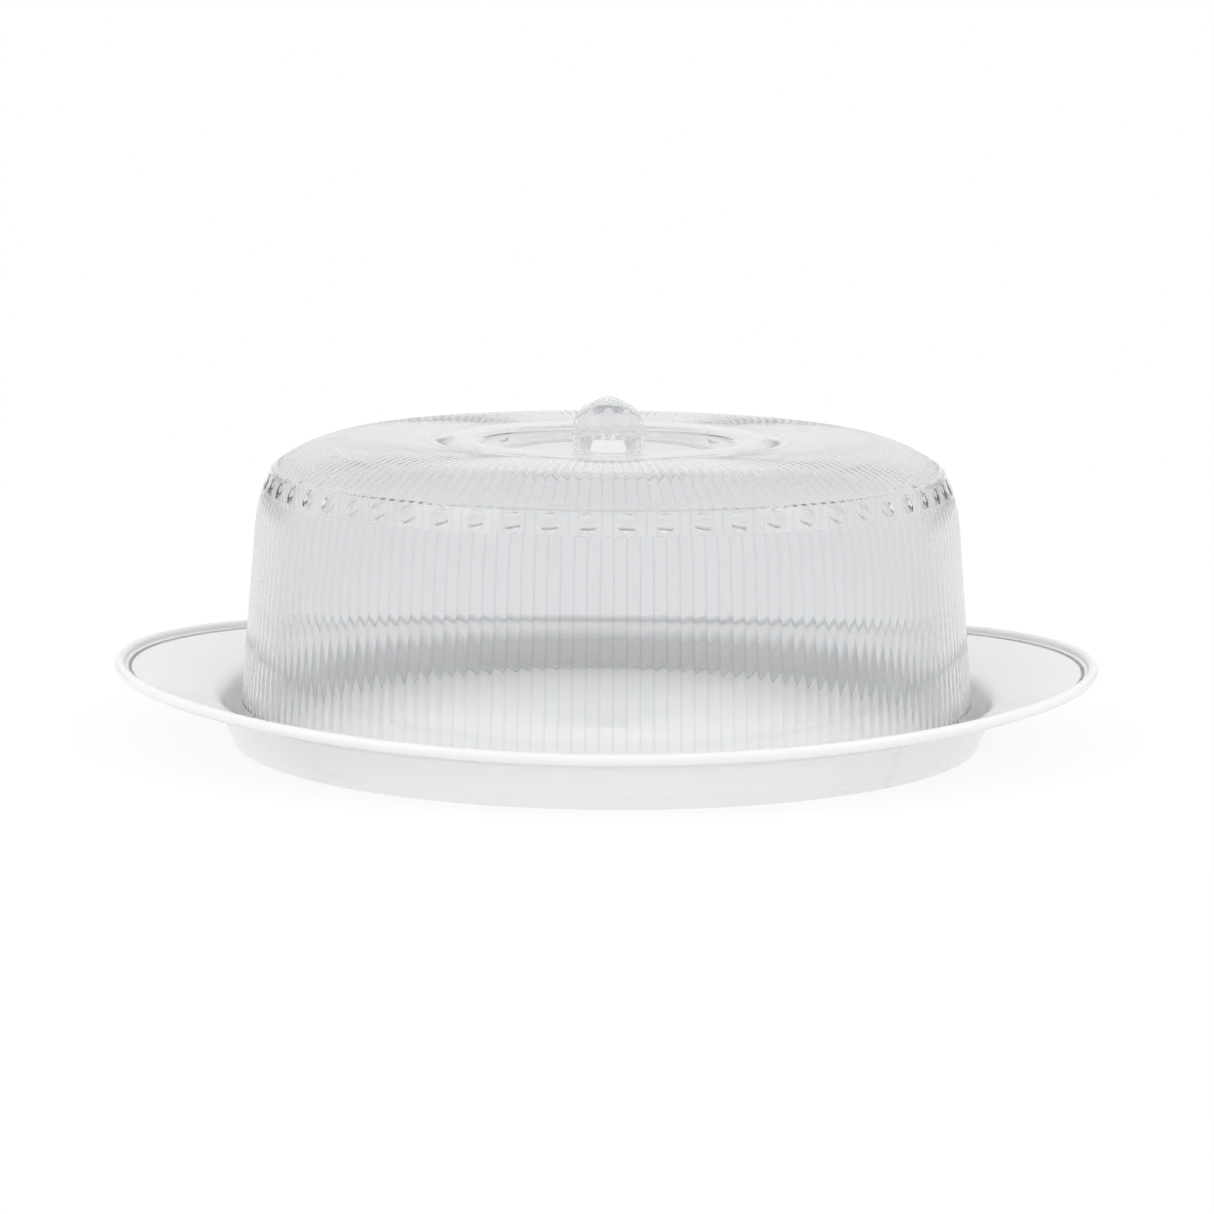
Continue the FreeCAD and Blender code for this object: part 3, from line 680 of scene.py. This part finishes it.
class Nodes:
    """A node tree filled from empty."""

    def __init__(self, owner):
        owner.use_nodes = True
        self.tree = owner.node_tree
        self.tree.nodes.clear()

    def add(self, kind, settings=None, sockets=None):
        """Adds a node: settings first, then values or links of its sockets. Returns its outputs."""
        node = self.tree.nodes.new(kind)
        for name, value in (settings or {}).items():
            if name == "stops":
                ramp = node.color_ramp
                for place, _ in value[len(ramp.elements):]:
                    ramp.elements.new(place)
                for element, (place, tone) in zip(ramp.elements, value):
                    element.position = place
                    element.color = (tone, tone, tone, 1)
            else:
                setattr(node, name, value)
        shown = [socket for socket in node.inputs if socket.enabled]
        for name, value in (sockets or {}).items():
            place = name if isinstance(name, int) else [s.name for s in shown].index(name)
            if isinstance(value, Wire):
                self.tree.links.new(value.socket, shown[place])
            else:
                shown[place].default_value = value
        return [Wire(self, socket) for socket in node.outputs if socket.enabled]

    def noise(self, where, scale, detail):
        """Soft noise, at a scale in waves to the metre."""
        return self.add(
            "ShaderNodeTexNoise", None,
            {"Vector": where, "Scale": scale, "Detail": detail, "Roughness": 0.5},
        )[0]

    def mixed(self, factor, first, second):
        """Two colours mixed by a factor."""
        tones = [(*tone, 1.0) if isinstance(tone, tuple) else tone for tone in (first, second)]
        return self.add(
            "ShaderNodeMix", {"data_type": "RGBA"},
            {"Factor": factor, "A": tones[0], "B": tones[1]},
        )[0]

    def ramp(self, factor, *stops):
        """A grey ramp over a factor, from its stops as place and tone."""
        return self.add("ShaderNodeValToRGB", {"stops": stops}, {0: factor})[0]

    def bumped(self, height, strength, distance):
        """A surface direction roughened by a height, over a distance in metres."""
        return self.add(
            "ShaderNodeBump", None,
            {"Strength": strength, "Distance": distance, "Height": height},
        )[0]

    def finish(self, shader):
        """Ends a material with its shader."""
        self.add("ShaderNodeOutputMaterial", None, {"Surface": shader})


def white_plastic(finishes):
    """Glossy milky white moulding with faint flow clouds and a very fine skin."""
    material = bpy.data.materials.new("milky_white_moulding")
    nodes = Nodes(material)
    where = nodes.add("ShaderNodeTexCoord")[3]
    clouds = nodes.noise(where, scale=14.0, detail=4.0)
    skin = nodes.noise(where, scale=900.0, detail=2.0)
    waves = nodes.noise(where, scale=35.0, detail=2.0)
    tone = nodes.mixed(clouds, tuple(finishes.white_shade), tuple(finishes.white))
    spread = 0.03
    roughness = finishes.white_gloss - spread + skin * spread + clouds * spread
    fine = nodes.bumped(waves + skin * 0.12, strength=0.06, distance=0.0006)
    nodes.finish(nodes.add("ShaderNodeBsdfPrincipled", None, {
        "Base Color": tone,
        "Roughness": roughness,
        "IOR": 1.49,
        "Normal": fine,
        "Subsurface Weight": 0.12,
        "Subsurface Radius": (1.0, 1.0, 1.0),
        "Subsurface Scale": 0.004,
        "Coat Weight": 0.25,
        "Coat Roughness": 0.05,
    })[0])
    return material


def painted_valley_shade(nodes, where, sizes):
    """How much painted shade a point of the dome takes for lying in a reed's valley, from none (0) to
    full (1).
    """
    # A ramp runs from 0 to 1, so heights and squared radii are scaled up to fill it
    height_scale = 5.0
    area_scale = 20.0
    x, y, z = nodes.add("ShaderNodeSeparateXYZ", None, {0: where})
    turn = nodes.add("ShaderNodeMath", {"operation": "ARCTAN2"}, {0: y, 1: x})[0]
    across = nodes.add(
        "ShaderNodeMath", {"operation": "PINGPONG"},
        {0: turn * (sizes.reeds / (2 * math.pi)), 1: 0.5},
    )[0]
    middle = nodes.ramp(across, (0.36, 0.0), (0.5, 1.0))
    area = (x * x + y * y) * area_scale
    shape = DomeShape(sizes)
    foot = (shape.hem[1] + sizes.reed_run_out * 0.5) * height_scale
    band_foot = shape.band_foot[1] * height_scale
    band_top = shape.band_top[1] * height_scale
    reeded = nodes.ramp(
        z * height_scale, (foot - 0.001, 0.0), (foot + 0.001, 1.0),
        (band_foot - 0.004, 1.0), (band_foot, 0.0), (band_top + 0.004, 0.0), (band_top + 0.01, 1.0),
    )
    ring_area = sizes.ring_foot ** 2 * area_scale
    return middle * reeded * nodes.ramp(area, (ring_area, 0.0), (ring_area * 1.6, 1.0))


def clear_plastic(finishes, name, light, shade, gloss, sizes=None):
    """Clear moulding with faint flow clouds, slightly wavy faces and, given sizes, painted valley
    shade.
    """
    material = bpy.data.materials.new(name)
    nodes = Nodes(material)
    where = nodes.add("ShaderNodeTexCoord")[3]
    clouds = nodes.noise(where, scale=18.0, detail=4.0)
    skin = nodes.noise(where, scale=320.0, detail=2.0)
    waves = nodes.noise(where, scale=60.0, detail=2.0)
    tone = nodes.mixed(clouds, shade, light)
    if sizes:
        # Painted shade: the valleys take a darker tint in place of the dark lines that refraction
        # draws along them
        tone = nodes.mixed(painted_valley_shade(nodes, where, sizes), tone, tuple(finishes.valley))
    roughness = gloss * 0.5 + skin * gloss
    fine = nodes.bumped(waves, strength=0.015, distance=0.0005)
    nodes.finish(nodes.add("ShaderNodeBsdfPrincipled", None, {
        "Base Color": tone,
        "Roughness": roughness,
        "IOR": finishes.refraction,
        "Transmission Weight": 1.0,
        "Normal": fine,
    })[0])
    return material


def pale_floor(stage):
    """The floor: near white with the object's shadow, and pale grey through the clear plastic."""
    material = bpy.data.materials.new("pale_floor")
    nodes = Nodes(material)
    rays = nodes.add("ShaderNodeLightPath")
    where = nodes.add("ShaderNodeTexCoord")[3]
    reach = nodes.add("ShaderNodeVectorMath", {"operation": "LENGTH"}, {0: where})[0]
    # Near the object the floor takes its shadow, and further off it is plain white
    away = nodes.ramp(reach, (0.3, 0.0), (0.9, 1.0))
    looked_at = rays[CAMERA] + rays[GLOSSY] + rays[TRANSMISSION]
    glowing = looked_at * (0.8 + 0.2 * away) + rays[DIFFUSE] * 0.75
    plain = nodes.add(
        "ShaderNodeBsdfDiffuse", None, {"Color": (*stage.floor, 1.0), "Roughness": 0.5}
    )[0]
    tone = nodes.mixed(rays[TRANSMISSION], WHITE, (0.81, 0.815, 0.82))
    glow = nodes.add("ShaderNodeEmission", None, {"Color": tone, "Strength": 1.0})[0]
    nodes.finish(nodes.add("ShaderNodeMixShader", None, {0: glowing, 1: plain, 2: glow})[0])
    return material


# Stage


# Clear walls one behind the other turn dark with fewer bounces than this
BOUNCES = 32
FLOOR_REACH = 12.0
LAMP_TARGET = (0.0, 0.0, 0.05)
# Name, place, side in metres and power in watts
SOFT_BOXES = (
    ("soft_box_left", (-1.1, -0.7, 1.3), 1.0, 2.2),
    ("soft_box_right", (1.2, -0.4, 1.2), 0.9, 1.6),
    ("soft_box_top", (0.0, -0.6, 1.6), 1.1, 0.8),
)


def aimed(location, target, roll=0.0):
    """A matrix that looks from one point at another, rolled about its line of sight."""
    way = Vector(target) - Vector(location)
    turn = way.to_track_quat("-Z", "Y").to_matrix().to_4x4()
    return Matrix.Translation(location) @ turn @ Matrix.Rotation(roll, 4, "Z")


def lamp(name, location, size, power):
    """Makes a square soft box that looks at the dome."""
    data = bpy.data.lights.new(name, "AREA")
    data.shape = "SQUARE"
    data.size = size
    data.energy = power
    made = bpy.data.objects.new(name, data)
    made.matrix_world = aimed(location, LAMP_TARGET)
    bpy.context.scene.collection.objects.link(made)


def studio_world(strength):
    """Makes even light from all round: white to the camera, with darker screens to be reflected."""
    world = bpy.data.worlds.new("studio")
    bpy.context.scene.world = world
    nodes = Nodes(world)
    rays = nodes.add("ShaderNodeLightPath")
    where = nodes.add("ShaderNodeTexCoord")[0]
    x, y, z = nodes.add("ShaderNodeSeparateXYZ", None, {0: where})
    turn = nodes.add("ShaderNodeMath", {"operation": "ARCTAN2"}, {0: x, 1: y})[0]
    aside = nodes.add("ShaderNodeMath", {"operation": "ABSOLUTE"}, {0: turn})[0] * (1 / math.pi)
    # Two screens stand low to the left and right of the back, and a faint canopy hangs over it
    low = nodes.ramp(z, (0.12, 1.0), (0.3, 0.0))
    high = nodes.ramp(z, (0.45, 0.0), (0.62, 1.0))
    screens = nodes.ramp(aside, (0.1, 0.0), (0.15, 0.5), (0.22, 0.5), (0.3, 0.0))
    canopy = nodes.ramp(aside, (0.1, 0.23), (0.22, 0.0))
    seen = 0.9 - 0.8 * screens * low - canopy * high
    glass = nodes.mixed(rays[CAMERA], seen, WHITE)
    scattered = nodes.add(
        "ShaderNodeMath", {"operation": "GREATER_THAN"}, {0: rays[DIFFUSE_DEPTH], 1: 0.5}
    )[0]
    # Light that reaches a dull face through the clear plastic is raised, as some is lost there
    through = (rays[GLOSSY] + rays[TRANSMISSION]) * scattered
    even = strength * (1.0 + 0.35 * through)
    looked_at = rays[CAMERA] + rays[GLOSSY] + rays[TRANSMISSION]
    lit = nodes.mixed(looked_at - through, even, glass)
    surface = nodes.add("ShaderNodeBackground", None, {"Color": lit, "Strength": 1.0})[0]
    nodes.add("ShaderNodeOutputWorld", None, {"Surface": surface})


class CAKE_OT_stage(bpy.types.Operator):
    """Makes the floor, the lamps, the surrounding light and the camera"""

    bl_idname = "cake.stage"
    bl_label = "Stage"

    def execute(self, context):
        scene = context.scene
        stage = scene.cake_stage
        scene.view_settings.view_transform = "Standard"
        for limit in ("max_bounces", "glossy_bounces", "transmission_bounces"):
            setattr(scene.cycles, limit, BOUNCES)
        mesh = bpy.data.meshes.new("floor")
        turns = ((-1, -1), (1, -1), (1, 1), (-1, 1))
        corners = [(x * FLOOR_REACH, y * FLOOR_REACH, 0.0) for x, y in turns]
        mesh.from_pydata(corners, [], [(0, 1, 2, 3)])
        mesh.materials.append(pale_floor(stage))
        floor = bpy.data.objects.new("floor", mesh)
        scene.collection.objects.link(floor)

        studio_world(stage.daylight)
        for box in SOFT_BOXES:
            lamp(*box)

        data = bpy.data.cameras.new("camera")
        data.lens = stage.focal
        data.sensor_width = 36.0
        data.clip_end = 100.0
        camera = bpy.data.objects.new("camera", data)
        camera.matrix_world = aimed(
            (0.0, -stage.distance, stage.height), (0.0, 0.0, stage.aim), stage.roll
        )
        scene.collection.objects.link(camera)
        scene.camera = camera
        return {"FINISHED"}


class CAKE_OT_plate(bpy.types.Operator):
    """Makes the white plate with its well, foot, oval flange and rim bead"""

    bl_idname = "cake.plate"
    bl_label = "Cake plate"

    def execute(self, context):
        scene = context.scene
        skin = plate_skin(scene.cake_plate)
        material = white_plastic(scene.cake_finishes)
        plate = skin.piece("cake_plate", material, PLATE_CREASE)
        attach(plate, "root")
        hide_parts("plate")
        return {"FINISHED"}


class CAKE_OT_dome(bpy.types.Operator):
    """Makes the clear dome with its reeds, dimples, ring and pan"""

    bl_idname = "cake.dome"
    bl_label = "Reeded dome"

    def execute(self, context):
        scene = context.scene
        finishes = scene.cake_finishes
        skin = dome_skin(scene.cake_dome)
        material = clear_plastic(
            finishes, "clear_moulding", tuple(finishes.clear), tuple(finishes.clear_shade),
            finishes.clear_gloss, scene.cake_dome,
        )
        dome = skin.piece("reeded_dome", material, DOME_CREASE)
        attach(dome, "root")
        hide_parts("dome")
        return {"FINISHED"}


class CAKE_OT_knob(bpy.types.Operator):
    """Gives the faceted knob its clear cut finish"""

    bl_idname = "cake.knob"
    bl_label = "Faceted knob"

    def execute(self, context):
        finishes = context.scene.cake_finishes
        material = clear_plastic(
            finishes, "clear_cut_facets", tuple(finishes.cut), tuple(finishes.cut_shade),
            finishes.cut_gloss,
        )
        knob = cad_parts["knob"]
        knob.data.materials.clear()
        knob.data.materials.append(material)
        return {"FINISHED"}


class CAKE_PT_pieces(bpy.types.Panel):
    """Lists the pieces of the cake plate and the stage."""

    bl_idname = "CAKE_PT_pieces"
    bl_label = "Cake plate with dome"
    bl_space_type = "VIEW_3D"
    bl_region_type = "UI"
    bl_category = "Cake Plate"

    def draw(self, context):
        for operator in OPERATORS:
            self.layout.operator(operator.bl_idname)
        for name, group in GROUPS.items():
            box = self.layout.box()
            box.label(text=name.replace("_", " "))
            settings = getattr(context.scene, name)
            for field in group.__annotations__:
                box.prop(settings, field)


GROUPS = {
    "cake_plate": PlateSizes,
    "cake_dome": DomeSizes,
    "cake_finishes": Finishes,
    "cake_stage": StageSizes,
}
OPERATORS = (CAKE_OT_stage, CAKE_OT_plate, CAKE_OT_dome, CAKE_OT_knob)


def register():
    for group in GROUPS.values():
        bpy.utils.register_class(group)
    for name, group in GROUPS.items():
        setattr(bpy.types.Scene, name, bpy.props.PointerProperty(type=group))
    for operator in OPERATORS:
        bpy.utils.register_class(operator)
    bpy.utils.register_class(CAKE_PT_pieces)


def unregister():
    bpy.utils.unregister_class(CAKE_PT_pieces)
    for operator in reversed(OPERATORS):
        bpy.utils.unregister_class(operator)
    for name, group in GROUPS.items():
        delattr(bpy.types.Scene, name)
        bpy.utils.unregister_class(group)


def main():
    register()
    bpy.ops.cake.stage()
    bpy.ops.cake.plate()
    bpy.ops.cake.dome()
    bpy.ops.cake.knob()


if __name__ == "__main__":
    main()
